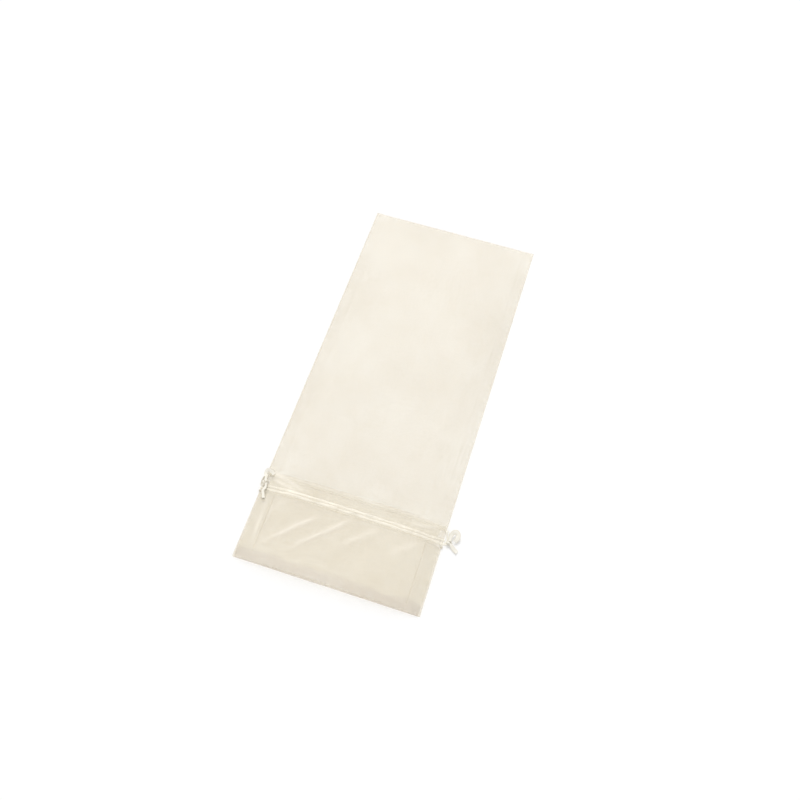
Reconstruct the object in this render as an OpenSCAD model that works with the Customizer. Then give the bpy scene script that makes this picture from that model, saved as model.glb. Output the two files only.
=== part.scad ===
// Drawstring gift pouch: a flat rectangular bag of sheer organza, lying on its back.
// +X runs across the pouch, +Y from the open mouth to the closed end, +Z up from the table.
// The origin is on the table, under the middle of the back cloth.

/* [Pouch] */
// Width across the side seams
pouch_w = 160; // [120:1:200]
// Length from the mouth to the closed end
pouch_l = 370; // [300:1:420]
// Thickness of one layer of cloth, shown thicker than real organza
cloth_t = 0.3; // [0.25:0.05:0.4]
// Height at which the two cloths meet in the side seams
seam_z = 1.2; // [1.2:0.1:1.6]
// Width of the sewn seam at each side
seam_w = 1.5; // [1.5:0.1:2]
// How far the front cloth stands up over the neck and the header
neck_rise = 7; // [7:0.5:9]
// How much more it stands up in the middle of the pocket
belly_rise = 4; // [2:0.5:6]

/* [Header] */
// Distance from the mouth to the middle of the drawcord casing
header_l = 67; // [50:1:80]
// Distance between the two rows of stitching of the casing
casing_w = 14; // [14:1:18]
// Length of the side opening where the cords come out
cord_gap = 13; // [11:1:13]
// Gap between a header cloth and its facing, where the cords run
casing_gap = 0.8; // [0.8:0.05:1]
// How far the facing reaches past the casing
facing_past = 4; // [2:1:8]
// Width of the turned cloth edge inside each side seam
allowance_w = 8; // [6:1:10]

/* [Drawcords] */
// Width of a ribbon
ribbon_w = 2.6; // [2:0.1:3]
// Thickness of a ribbon
ribbon_t = 0.35; // [0.3:0.01:0.36]
// Distance between the middles of the two ribbons in the casing
ribbon_pitch = 3.2; // [3.2:0.1:4]
// How far the ribbons lie from the casing's middle, towards the mouth
ribbon_low = 2.5; // [1:0.1:2.5]
// Radius of the knot's core
knot_r = 1.8; // [1.5:0.1:2]
// Length of the ribbon tails past a knot
tail_l = 9; // [6:1:12]
// Outer radius of the turn that lays the left knot over the seam
turn_r = 2; // [1.8:0.1:2.4]

/* [Stitching] */
// Thickness of the sewing thread
thread_t = 0.3; // [0.2:0.05:0.4]
// Width of the bar tacks that end the side openings
tack_w = 1.2; // [1:0.1:2]

/* [Hidden] */

cloth_colour = [0.95, 0.93, 0.88];
facing_colour = [0.92, 0.89, 0.82];
ribbon_colour = [0.97, 0.95, 0.89];
thread_colour = [0.85, 0.8, 0.7];

mouth_y = -pouch_l / 2;
end_y = pouch_l / 2;
cord_y = mouth_y + header_l;
left_ribbon_y = cord_y - ribbon_low + ribbon_pitch / 2;
right_ribbon_y = cord_y - ribbon_low - ribbon_pitch / 2;
facing_end_y = cord_y + casing_w / 2 + facing_past;
neck_y = facing_end_y + 2;
inner_half_w = pouch_w / 2 - seam_w;
fold_l = 0.6;
clear = 0.05;
ply_gap = 0.07;
thread_in = 0.8;
arc_fn = 48;

// Half the number of steps across the cloth, and the number along the pocket
half_steps = 12;
long_steps = 30;
// The facing stops this many steps short of the seam on each side
facing_step = 9;

// Places across the cloth, closer together towards the seams
function across(i) = inner_half_w * sin(90 * i / half_steps);
xs = concat([-pouch_w / 2], [for (i = [-half_steps:half_steps]) across(i)], [pouch_w / 2]);
facing_xs = [for (i = [-facing_step:facing_step]) across(i)];
// Places along the cloth: straight over the header, then in even steps to the closed end
ys = concat([mouth_y], [for (j = [0:long_steps]) neck_y + (end_y - seam_w - neck_y) * j / long_steps],
            [end_y]);

// The arch of the front cloth: flat in the seams, and full over most of the width
function arch(x) = 1 - pow(min(1, abs(x) / inner_half_w), 4);
function along(y) = max(0, min(1, (y - neck_y) / (end_y - seam_w - neck_y)));
function rise(y) = (neck_rise + belly_rise * pow(sin(180 * along(y)), 2)) * (1 - pow(along(y), 8));
function shell_z(x, y) = seam_z + rise(y) * arch(x);

// The section of a layer that follows the header's arch, from bottom to top above it
module arch_section(places, bottom, top) {
    polygon(concat([for (x = places) [x, shell_z(x, mouth_y) + bottom]],
                   [for (i = [len(places) - 1:-1:0]) [places[i], shell_z(places[i], mouth_y) + top]]));
}

// Draws a section standing across the pouch, from y0 to y1
module across_pouch(y0, y1) {
    translate([0, y1, 0]) rotate([90, 0, 0]) linear_extrude(y1 - y0) children();
}

module block(low, high) {
    translate(low) cube(high - low);
}

module mirrored(side) {
    scale([side, 1, 1]) children();
}

module back_panel() {
    color(cloth_colour) block([-pouch_w / 2, mouth_y, 0], [pouch_w / 2, end_y, cloth_t]);
}

// The front cloth is one arched sheet, swept over the grid of places
module front_panel() {
    nx = len(xs);
    ny = len(ys);
    count = nx * ny;
    lower = [for (y = ys, x = xs) [x, y, shell_z(x, y)]];
    upper = [for (p = lower) p + [0, 0, cloth_t]];
    cells = [for (j = [0:ny - 2], i = [0:nx - 2]) j * nx + i];
    top = [for (a = cells, half = [0, 1]) half == 0 ? [a, a + nx, a + nx + 1] : [a, a + nx + 1, a + 1]];
    bottom = [for (f = top) [f[0], f[2], f[1]]];
    rim = concat([for (i = [0:nx - 2]) [i, i + 1]],
                 [for (j = [0:ny - 2]) [j * nx + nx - 1, (j + 1) * nx + nx - 1]],
                 [for (i = [nx - 2:-1:0]) [(ny - 1) * nx + i + 1, (ny - 1) * nx + i]],
                 [for (j = [ny - 2:-1:0]) [(j + 1) * nx, j * nx]]);
    sides = [for (e = rim, half = [0, 1])
             half == 0 ? [e[0], e[0] + count, e[1] + count] : [e[0], e[1] + count, e[1]]];
    color(cloth_colour) polyhedron(concat(lower, upper),
        concat(bottom, [for (f = top) f + [count, count, count]], sides));
}

// The fold at the closed end, which joins the two cloths
module bottom_fold() {
    color(cloth_colour) block([-pouch_w / 2, end_y - seam_w, cloth_t], [pouch_w / 2, end_y, seam_z]);
}

module back_facing() {
    low_z = cloth_t + casing_gap;
    color(facing_colour) block([facing_xs[0], mouth_y, low_z],
                               [-facing_xs[0], facing_end_y, low_z + cloth_t]);
}

module front_facing() {
    color(facing_colour) across_pouch(mouth_y, facing_end_y)
        arch_section(facing_xs, -casing_gap - cloth_t, -casing_gap);
}

// The fold at the mouth, where a cloth turns in to become its facing
module back_mouth_fold() {
    color(facing_colour) block([facing_xs[0], mouth_y, cloth_t],
                               [-facing_xs[0], mouth_y + fold_l, cloth_t + casing_gap]);
}

module front_mouth_fold() {
    color(facing_colour) across_pouch(mouth_y, mouth_y + fold_l)
        arch_section(facing_xs, -casing_gap, 0);
}

module side_seam(y0, y1) {
    color(cloth_colour) block([inner_half_w, y0, cloth_t], [pouch_w / 2, y1, seam_z]);
}

module body_seam(side) {
    mirrored(side) side_seam(cord_y + cord_gap / 2, end_y - seam_w);
}

module header_seam(side) {
    mirrored(side) side_seam(mouth_y, cord_y - cord_gap / 2);
}

// The cloth's cut edge, turned in flat along the back cloth
module seam_allowance(side) {
    color(facing_colour) mirrored(side)
        block([inner_half_w - allowance_w, neck_y, cloth_t + clear],
              [inner_half_w - clear, end_y - seam_w - clear, 2 * cloth_t + clear]);
}

// The two rows of thread that hold a side seam, one on each side of the cord opening
module seam_stitching(side) {
    top_z = seam_z + cloth_t + clear / 2;
    near = cord_gap / 2 + tack_w + thread_in;
    color(thread_colour) mirrored(side) for (row = [[mouth_y + thread_in, cord_y - near],
                                                    [cord_y + near, end_y - thread_in]])
        block([pouch_w / 2 - thread_in - thread_t, row[0], top_z],
              [pouch_w / 2 - thread_in, row[1], top_z + thread_t]);
}

module casing_rows() {
    for (edge = [-1, 1]) translate([0, cord_y + edge * casing_w / 2 - thread_t / 2, 0]) children();
}

module front_casing_stitching() {
    inner_xs = [for (i = [-half_steps:half_steps]) across(i)];
    color(thread_colour) casing_rows() across_pouch(0, thread_t)
        arch_section(inner_xs, cloth_t + clear, cloth_t + clear + thread_t);
}

module back_casing_stitching() {
    low_z = 2 * cloth_t + casing_gap + clear;
    color(thread_colour) casing_rows()
        block([facing_xs[0], 0, low_z], [-facing_xs[0], thread_t, low_z + thread_t / 2]);
}

// Thread that binds the seam's edge above and below the side opening
module bar_tacks(side) {
    top_z = seam_z + cloth_t;
    wrap = 0.6;
    color(thread_colour) mirrored(side) for (y = [cord_y - cord_gap / 2 - tack_w, cord_y + cord_gap / 2]) {
        block([pouch_w / 2 + clear, y, clear], [pouch_w / 2 + wrap, y + tack_w, top_z + 0.4]);
        block([inner_half_w + clear, y, top_z + clear], [pouch_w / 2 + wrap, y + tack_w, top_z + 0.4]);
    }
}

// A ribbon's whole loop in section: over the front, round the far seam and back along the
// back cloth. Both ends leave at +X, and reach is how far past the seam they go.
module loop_section(reach) {
    back_z = cloth_t + clear;
    front_z = back_z + ribbon_t + ply_gap;
    drop = front_z - seam_z;
    round_d = 2 * ribbon_t + ply_gap;
    arch_section(xs, drop, drop + ribbon_t);
    for (z = [back_z, front_z]) translate([pouch_w / 2 - clear, z]) square([reach + clear, ribbon_t]);
    translate([-pouch_w / 2, back_z]) square([pouch_w, ribbon_t]);
    translate([-pouch_w / 2, back_z + round_d / 2]) circle(d = round_d, $fn = arc_fn);
}

function loop_top() = 2 * ribbon_t + ply_gap;

// The right cord's ends run straight into their knot on the table
right_reach = 3.5;

module right_drawcord() {
    y0 = right_ribbon_y - ribbon_w / 2;
    color(ribbon_colour) across_pouch(y0, y0 + ribbon_w) loop_section(right_reach);
}

// The left cord's ends turn up and back, which lays their knot on the seam
left_reach = 1;
left_stub = 2.5;

module left_drawcord() {
    y0 = left_ribbon_y - ribbon_w / 2;
    turn_z = cloth_t + clear + turn_r;
    color(ribbon_colour) mirror([1, 0, 0]) across_pouch(y0, y0 + ribbon_w) {
        loop_section(left_reach);
        translate([pouch_w / 2 + left_reach, turn_z]) {
            difference() {
                circle(r = turn_r, $fn = arc_fn);
                circle(r = turn_r - loop_top(), $fn = arc_fn);
                translate([-2 * turn_r, -turn_r]) square(2 * turn_r);
            }
            translate([-left_stub, turn_r - loop_top()]) square([left_stub, loop_top()]);
        }
    }
}

left_knot_at = [left_stub + 0.8 * knot_r - left_reach - pouch_w / 2, left_ribbon_y + ribbon_w / 2,
                cloth_t + 2 * turn_r];
right_knot_at = [pouch_w / 2 + right_reach + knot_r / 2, right_ribbon_y + ribbon_w, knot_r + 0.4];

// An overhand knot: a core with one turn of ribbon pulled tight over it
module knot(at, lean) {
    color(ribbon_colour) translate(at) {
        sphere(r = knot_r, $fn = arc_fn);
        rotate([lean, 75, 0]) rotate_extrude($fn = arc_fn)
            translate([knot_r * 0.72, 0]) circle(r = knot_r * 0.42, $fn = 24);
    }
}

module left_knot() {
    knot(left_knot_at, 20);
}

module right_knot() {
    knot(right_knot_at, -15);
}

// The two cut ends past a knot, each at its own angle and length
module tails(at, angles, lengths) {
    color(ribbon_colour) for (k = [0, 1])
        translate(at + [0, 0, k * (ribbon_t + clear) - ribbon_t]) rotate([0, 0, angles[k]])
            translate([0.8 * knot_r, -ribbon_w / 2, 0]) cube([lengths[k], ribbon_w, ribbon_t]);
}

module left_tails() {
    tails(left_knot_at, [279, 120], [tail_l * 1.4, tail_l * 0.9]);
}

module right_tails() {
    low = [right_knot_at[0], right_knot_at[1], ribbon_t + 0.6];
    tails(low, [323, 62], [tail_l, tail_l]);
}

back_panel();
front_panel();
bottom_fold();
back_facing();
front_facing();
back_mouth_fold();
front_mouth_fold();
body_seam(-1);  // left_body_seam
body_seam(1);  // right_body_seam
header_seam(-1);  // left_header_seam
header_seam(1);  // right_header_seam
seam_allowance(-1);  // left_seam_allowance
seam_allowance(1);  // right_seam_allowance
seam_stitching(-1);  // left_seam_stitching
seam_stitching(1);  // right_seam_stitching
front_casing_stitching();
back_casing_stitching();
bar_tacks(-1);  // left_bar_tacks
bar_tacks(1);  // right_bar_tacks
left_drawcord();
right_drawcord();
left_knot();
right_knot();
left_tails();
right_tails();
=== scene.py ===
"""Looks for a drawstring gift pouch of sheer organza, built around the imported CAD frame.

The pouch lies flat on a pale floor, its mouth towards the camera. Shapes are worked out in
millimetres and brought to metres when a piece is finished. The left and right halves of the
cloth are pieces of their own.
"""

import logging
import math
import sys
from dataclasses import dataclass
from enum import Enum
from typing import Callable, Iterable, Sequence

import bmesh
import bpy
from mathutils import Matrix, Quaternion, Vector, noise


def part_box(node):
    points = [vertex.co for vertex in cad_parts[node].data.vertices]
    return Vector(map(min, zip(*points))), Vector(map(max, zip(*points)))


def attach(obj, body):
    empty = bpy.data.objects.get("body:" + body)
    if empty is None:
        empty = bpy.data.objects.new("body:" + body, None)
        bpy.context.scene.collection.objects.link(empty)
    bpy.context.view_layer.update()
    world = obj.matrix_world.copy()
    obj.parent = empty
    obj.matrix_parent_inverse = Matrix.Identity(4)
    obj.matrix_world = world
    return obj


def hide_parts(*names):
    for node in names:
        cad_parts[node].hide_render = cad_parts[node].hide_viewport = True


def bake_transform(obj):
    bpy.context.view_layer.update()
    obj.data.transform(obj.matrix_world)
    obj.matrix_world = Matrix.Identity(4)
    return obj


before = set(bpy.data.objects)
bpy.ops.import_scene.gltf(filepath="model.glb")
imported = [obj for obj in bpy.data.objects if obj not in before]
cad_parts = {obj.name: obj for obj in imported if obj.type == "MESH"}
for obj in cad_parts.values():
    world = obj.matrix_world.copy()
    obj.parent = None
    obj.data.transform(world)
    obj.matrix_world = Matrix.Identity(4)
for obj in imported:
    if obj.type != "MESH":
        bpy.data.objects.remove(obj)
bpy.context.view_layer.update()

log = logging.getLogger("pouch")

MM = 0.001
CLOTH_T = 0.2
FLOOR_GAP = 0.02
SHARP = math.radians(50.0)
ACROSS = Vector((1.0, 0.0, 0.0))
ALONG = Vector((0.0, 1.0, 0.0))
UP = Vector((0.0, 0.0, 1.0))
# The bands of a wave texture repeat at this distance, over the texture's scale.
WAVE_PERIOD = 0.314
FLAT_LAYER = "flat"
PAINTED_LIGHT_LAYER = "accent"


Point = tuple[float, float, float]
Laid = tuple[Vector, tuple[float, ...]]
Place = Callable[[int, int], Laid]


class Side(Enum):
    """The two sides of the pouch, as the sign of X there."""

    LEFT = -1
    RIGHT = 1

    @property
    def word(self) -> str:
        """The side's name, as the frame spells it."""
        return self.name.lower()


class Part(Enum):
    """The two lengths of the cloth, on each side of the cord's line."""

    HEADER = "header"
    POCKET = "pocket"


class Ply(Enum):
    """The two cloths of the pouch."""

    FRONT = "front"
    BACK = "back"


def smooth_step(t: float) -> float:
    """A smooth climb from 0 to 1 as t goes from 0 to 1."""
    t = max(0.0, min(1.0, t))
    return t * t * (3.0 - 2.0 * t)


def steps(low: float, high: float, size: float) -> list[float]:
    """Even places from low to high.

    Args:
        low: The first place.
        high: The last place.
        size: The longest step between two places.

    Returns:
        The places, both ends among them.
    """
    count = max(1, math.ceil(abs(high - low) / size))
    return [low + (high - low) * k / count for k in range(count + 1)]


def node_box(node: str) -> tuple[Vector, Vector]:
    """A CAD node's lowest and highest corners, in millimetres."""
    low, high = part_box(node)
    return low / MM, high / MM


@dataclass(frozen=True)
class Crease:
    """A pressed ridge in the front cloth, in millimetres.

    A lighter line is painted along it too: a painted highlight where the ridge turns to the light.
    """

    start: tuple[float, float]
    end: tuple[float, float]
    height: float
    width: float
    # light is the strength of the painted highlight along the ridge.
    light: float

    def share(self, x: float, y: float) -> float:
        """How much of the ridge there is at a place, from 0 to 1."""
        ax, ay = self.start
        dx, dy = self.end[0] - ax, self.end[1] - ay
        length = math.hypot(dx, dy)
        along = ((x - ax) * dx + (y - ay) * dy) / length
        off = ((x - ax) * dy - (y - ay) * dx) / length
        off += 0.9 * noise.noise(Vector((along / 14.0, ax / 10.0, 2.0)))
        if not 0.0 < along < length or abs(off) > 4.0 * self.width:
            return 0.0
        part = along / length
        taper = smooth_step(part / 0.25) * smooth_step((1.0 - part) / 0.5)
        return taper * math.exp(-((off / self.width) ** 2))


CREASES = (
    Crease((6.0, -125.4), (-46.0, -174.4), 0.85, 1.8, 0.80),
    Crease((-21.0, -131.6), (-68.0, -174.2), 0.85, 1.8, 0.95),
    Crease((30.0, -127.0), (-8.0, -160.0), 0.50, 2.6, 0.45),
    Crease((-52.0, -126.5), (-70.0, -148.0), 0.45, 2.2, 0.35),
    Crease((-71.6, -123.0), (-67.6, -180.0), -0.50, 1.2, 0.90),
    Crease((64.0, -127.0), (36.0, -152.0), 0.45, 2.4, 0.40),
    Crease((-79.0, -106.8), (-36.0, -117.8), 0.45, 1.5, 1.00),
    Crease((-78.5, -111.6), (-42.0, -120.6), 0.45, 1.2, 0.90),
    Crease((-77.0, -110.0), (-50.0, -101.0), 0.50, 1.6, 0.50),
    Crease((77.0, -110.5), (44.0, -117.0), 0.75, 1.3, 0.70),
    Crease((72.0, -108.0), (20.0, -103.0), 0.45, 1.8, 0.45),
    Crease((-62.0, -96.0), (-48.0, 60.0), 0.40, 3.5, 0.12),
    Crease((46.0, -92.0), (57.0, 96.0), 0.36, 3.8, 0.12),
)


# Painted highlights of the two ribbons, laid on the front cloth over the casing. Each has its
# distance from the casing's middle towards the mouth, its width and its strength, and a seed for where it
# is broken.
RIBBON_HIGHLIGHTS = ((1.8, 1.0, 0.45, 4.0), (4.8, 1.35, 1.0, 9.0))


@dataclass(frozen=True)
class PouchPlan:
    """The pouch's sizes, read from the frame, and the surfaces that its cloths follow, in mm."""

    half_w: float
    mouth_y: float
    end_y: float
    seam_z: float
    seam_w: float
    header_rise: float
    belly_rise: float
    neck_y: float
    facing_half_w: float
    facing_end_y: float
    row_low_y: float
    row_high_y: float
    gap_low_y: float
    gap_high_y: float
    turning_w: float
    broad_h: float = 0.5
    uneven_h: float = 0.16
    gather_h: float = 0.22
    gather_pitch: float = 6.4
    groove_h: float = 0.14
    groove_w: float = 1.1
    ribbon_h: float = 0.9
    ribbon_drop: float = 3.4
    ribbon_spread: float = 2.7
    fold_h: float = 0.5
    mouth_h: float = 0.25
    casing_h: float = 0.78
    back_lift: float = 0.5

    @classmethod
    def from_frame(cls) -> "PouchPlan":
        """Reads the plan from the boxes of the CAD nodes."""
        back_low, back_high = node_box("back_panel")
        front_low, front_high = node_box("front_panel")
        facing_high = node_box("back_facing")[1]
        rows_low, rows_high = node_box("back_casing_stitching")
        seam_low, seam_high = node_box("right_body_seam")
        turning_low = node_box("right_seam_allowance")[0]
        rise = node_box("front_mouth_fold")[1].z - front_low.z
        row_half_w = 0.15
        return cls(
            half_w=back_high.x,
            mouth_y=back_low.y,
            end_y=back_high.y,
            seam_z=front_low.z,
            seam_w=seam_high.x - seam_low.x,
            header_rise=rise,
            belly_rise=front_high.z - back_high.z - front_low.z - rise,
            neck_y=turning_low.y,
            facing_half_w=facing_high.x,
            facing_end_y=facing_high.y,
            row_low_y=rows_low.y + row_half_w,
            row_high_y=rows_high.y - row_half_w,
            gap_low_y=node_box("right_header_seam")[1].y,
            gap_high_y=seam_low.y,
            turning_w=seam_low.x - turning_low.x,
        )

    @property
    def cord_y(self) -> float:
        """The middle of the casing, where the header and the pocket meet."""
        return (self.row_low_y + self.row_high_y) / 2

    @property
    def inner_half_w(self) -> float:
        """Half the width between the seams."""
        return self.half_w - self.seam_w

    def shell(self, x: float, y: float) -> float:
        """Height of the front cloth's underside, before any crease."""
        arch = 1.0 - min(1.0, abs(x) / self.inner_half_w) ** 4
        along = (y - self.neck_y) / (self.end_y - self.seam_w - self.neck_y)
        along = max(0.0, min(1.0, along))
        belly = self.belly_rise * math.sin(math.pi * along) ** 2
        return self.seam_z + (self.header_rise + belly) * (1.0 - along**8) * arch

    def ruffle(self, x: float, y: float) -> float:
        """The front cloth's soft unevenness: broad waves, gathers at the neck, and creases."""
        edge = smooth_step((self.inner_half_w - abs(x)) / 7.0)
        end = smooth_step((self.end_y - 3.0 - y) / 14.0)
        if edge * end == 0.0:
            return 0.0
        broad = self.broad_h * noise.noise(Vector((x / 34.0, y / 48.0, 3.1)))
        broad += self.uneven_h * noise.noise(Vector((x / 11.0, y / 17.0, 8.4)))
        past = max(0.0, abs(y - self.cord_y) - (self.row_high_y - self.row_low_y) / 2)
        fall = math.exp(-past / (30.0 if y > self.cord_y else 17.0))
        drift = noise.noise(Vector((x / 10.0, y / 42.0, 7.7)))
        strength = 0.55 + 0.9 * noise.noise(Vector((x / 16.0, 0.3, 5.0)))
        gather = fall * strength * math.sin(math.tau * x / self.gather_pitch + 4.0 * drift)
        groove = sum(
            math.exp(-(((y - row) / self.groove_w) ** 2)) for row in (self.row_low_y, self.row_high_y)
        )
        ridges = sum(crease.height * crease.share(x, y) for crease in CREASES)
        return edge * end * (broad + self.gather_h * gather + ridges - self.groove_h * groove)

    def ribbon_ridge(self, x: float, y: float) -> float:
        """How far the ribbons in the casing push the front cloth up."""
        edge = smooth_step((self.inner_half_w - abs(x)) / 6.0)
        along = 0.8 + 0.6 * noise.noise(Vector((x / 10.0, 2.0, 1.0)))
        off = (y - self.cord_y + self.ribbon_drop) / self.ribbon_spread
        return self.ribbon_h * edge * along * math.exp(-(off**2))

    def accent(self, x: float, y: float) -> float:
        """How much painted highlight lies on the front cloth, from 0 to 1: along a crease, or over the
        ribbons under it.
        """
        light = sum(crease.light * crease.share(x, y) for crease in CREASES)
        edge = smooth_step((self.inner_half_w - abs(x)) / 6.0)
        for drop, width, strength, seed in RIBBON_HIGHLIGHTS:
            broken = smooth_step(0.65 + 1.3 * noise.noise(Vector((x / 7.0, seed, 1.0))))
            off = (y - self.cord_y + drop) / width
            light += strength * edge * broken * math.exp(-(off**2))
        return min(1.0, light)

    def fold_gap(self, y: float) -> float:
        """Height over all of a cloth, its facing and what lies between them."""
        mouth = self.mouth_h * (1.0 - smooth_step((y - self.mouth_y - 7.0) / 3.0))
        inside = (self.row_high_y - self.row_low_y) / 2 - abs(y - self.cord_y)
        return self.fold_h + mouth + self.casing_h * smooth_step(inside / 2.0)

    def cloth_face(self, ply: Ply, x: float, y: float) -> float:
        """Height of a cloth's outer face."""
        if ply is Ply.FRONT:
            return self.shell(x, y) + CLOTH_T + self.ruffle(x, y) + self.ribbon_ridge(x, y)
        inside = smooth_step((self.turning_x - abs(x)) / 9.0) * smooth_step((self.end_y - y) / 20.0)
        clear = smooth_step((abs(y - self.cord_y) - 9.0) / 12.0)
        lift = max(0.0, noise.noise(Vector((x / 27.0, y / 39.0, 21.0))))
        return FLOOR_GAP + self.back_lift * inside * clear * lift

    def facing_face(self, ply: Ply, x: float, y: float) -> float:
        """Height of a facing's face that looks into the pouch."""
        if ply is Ply.FRONT:
            return self.shell(x, y) + CLOTH_T + self.ruffle(x, y) - self.fold_gap(y)
        return self.cloth_face(ply, x, y) + self.fold_gap(y)

    @property
    def turning_x(self) -> float:
        """Where the turned seam edge starts, on the inside."""
        return self.inner_half_w - self.turning_w

    def facing_reach(self, y: float) -> float:
        """Half the width of a facing: cut back at the side opening, and to the seam elsewhere."""
        notch = smooth_step((abs(y - self.cord_y) - (self.gap_high_y - self.cord_y)) / 2.0)
        full, cut_back = self.inner_half_w - 0.2, self.inner_half_w - 4.2
        return cut_back + (full - cut_back) * notch


def linear_colour(code: str) -> tuple[float, float, float, float]:
    """Turns an sRGB hex value into the linear colour that a shader takes.

    Args:
        code: Six hex digits, such as "f0ebdd".

    Returns:
        Red, green, blue and alpha, linear.
    """
    values = [int(code[k : k + 2], 16) / 255.0 for k in (0, 2, 4)]
    line = [v / 12.92 if v <= 0.04045 else ((v + 0.055) / 1.055) ** 2.4 for v in values]
    return (line[0], line[1], line[2], 1.0)


def add_node(
    tree: bpy.types.NodeTree,
    kind: str,
    settings: dict[str, object] | None = None,
    values: dict[str, object] | None = None,
    links: dict[str, bpy.types.NodeSocket] | None = None,
) -> bpy.types.Node:
    """Adds one shader node, set and linked.

    Args:
        tree: The material's node tree.
        kind: The node's type name.
        settings: The node's own properties.
        values: Values of its input sockets.
        links: What is linked into its input sockets.

    Returns:
        The new node.
    """
    node = tree.nodes.new(kind)
    for key, value in (settings or {}).items():
        setattr(node, key, value)
    for key, value in (values or {}).items():
        node.inputs[int(key) if key.isdigit() else key].default_value = value
    for key, socket in (links or {}).items():
        tree.links.new(socket, node.inputs[int(key) if key.isdigit() else key])
    return node


def new_material(name: str) -> tuple[bpy.types.Material, bpy.types.NodeTree]:
    """A material with an empty node tree."""
    material = bpy.data.materials.new(name)
    material.use_nodes = True
    material.node_tree.nodes.clear()
    return material, material.node_tree


def close_material(tree: bpy.types.NodeTree, shader: bpy.types.Node) -> None:
    """Links a shader to the material's output."""
    add_node(tree, "ShaderNodeOutputMaterial", links={"Surface": shader.outputs[0]})


@dataclass(frozen=True)
class Organza:
    """Sheer nylon organza, plain woven from fine monofilament.

    It lets about half of the light through one layer, so layers add up to a denser cream, and
    the smooth filaments give it a faint, even gloss.
    """

    name: str
    colour: str
    shade: str
    alpha: float
    # The colour of the painted highlight along the creases and over the ribbons.
    crease: str = "fffaf0"
    slub_width: float = 0.9 * MM
    slub_length: float = 22.0 * MM
    thread_pitch: float = 0.5 * MM

    def build(self) -> bpy.types.Material:
        """Makes the material. Its patterns follow the cloth's flat lay in the UV map.

        Returns:
            The material.
        """
        material, tree = new_material(self.name)
        flat = add_node(tree, "ShaderNodeTexCoord").outputs["UV"]
        slubs = []
        # Real slubs are a thread wide, about 0.1 mm: they are drawn coarser so that they show.
        for across, along in ((self.slub_width, self.slub_length), (self.slub_length, self.slub_width)):
            place = add_node(
                tree,
                "ShaderNodeMapping",
                values={"Scale": (1.0 / across, 1.0 / along, 1.0)},
                links={"Vector": flat},
            )
            slubs.append(
                add_node(
                    tree,
                    "ShaderNodeTexNoise",
                    values={"Scale": 1.0, "Detail": 2.0, "Roughness": 0.6},
                    links={"Vector": place.outputs[0]},
                )
            )
        streaks = add_node(
            tree,
            "ShaderNodeMath",
            {"operation": "ADD"},
            links={"0": slubs[0].outputs[0], "1": slubs[1].outputs[0]},
        )
        cloud = add_node(
            tree,
            "ShaderNodeTexNoise",
            values={"Scale": 1.0 / (55.0 * MM), "Detail": 2.0, "Roughness": 0.5},
            links={"Vector": flat},
        )
        mottle = add_node(
            tree,
            "ShaderNodeMath",
            {"operation": "MULTIPLY_ADD"},
            values={"1": 0.6},
            links={"0": cloud.outputs[0], "2": streaks.outputs[0]},
        )
        share = add_node(
            tree,
            "ShaderNodeMapRange",
            values={"From Min": 1.0, "From Max": 1.6, "To Min": 0.0, "To Max": 1.0},
            links={"Value": mottle.outputs[0]},
        )
        tint = add_node(
            tree,
            "ShaderNodeMix",
            {"data_type": "RGBA"},
            values={"6": linear_colour(self.shade), "7": linear_colour(self.colour)},
            links={"0": share.outputs[0]},
        )
        # Painted highlight: the cloth is painted lighter along its creases and over the ribbons in the
        # casing.
        accent = add_node(tree, "ShaderNodeAttribute", {"attribute_name": PAINTED_LIGHT_LAYER})
        tint = add_node(
            tree,
            "ShaderNodeMix",
            {"data_type": "RGBA"},
            values={"7": linear_colour(self.crease)},
            links={"0": accent.outputs["Fac"], "6": tint.outputs[2]},
        )
        # Organza has 30 to 40 threads to the centimetre: half as many are drawn.
        waves = []
        for direction in ("X", "Y"):
            waves.append(
                add_node(
                    tree,
                    "ShaderNodeTexWave",
                    {"wave_type": "BANDS", "bands_direction": direction, "wave_profile": "SIN"},
                    values={"Scale": WAVE_PERIOD / self.thread_pitch, "Distortion": 0.4},
                    links={"Vector": flat},
                )
            )
        weave = add_node(
            tree,
            "ShaderNodeMath",
            {"operation": "ADD"},
            links={"0": waves[0].outputs["Fac"], "1": waves[1].outputs["Fac"]},
        )
        height = add_node(
            tree,
            "ShaderNodeMath",
            {"operation": "MULTIPLY_ADD"},
            values={"1": 0.35},
            links={"0": weave.outputs[0], "2": streaks.outputs[0]},
        )
        bump = add_node(
            tree,
            "ShaderNodeBump",
            values={"Strength": 0.35, "Distance": 0.05 * MM},
            links={"Height": height.outputs[0]},
        )
        shader = add_node(
            tree,
            "ShaderNodeBsdfPrincipled",
            values={
                "Roughness": 0.42,
                "Alpha": self.alpha,
                "Specular IOR Level": 0.28,
                "Sheen Weight": 0.12,
                "Sheen Roughness": 0.35,
            },
            links={"Base Color": tint.outputs[2], "Normal": bump.outputs[0]},
        )
        close_material(tree, shader)
        return material


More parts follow.
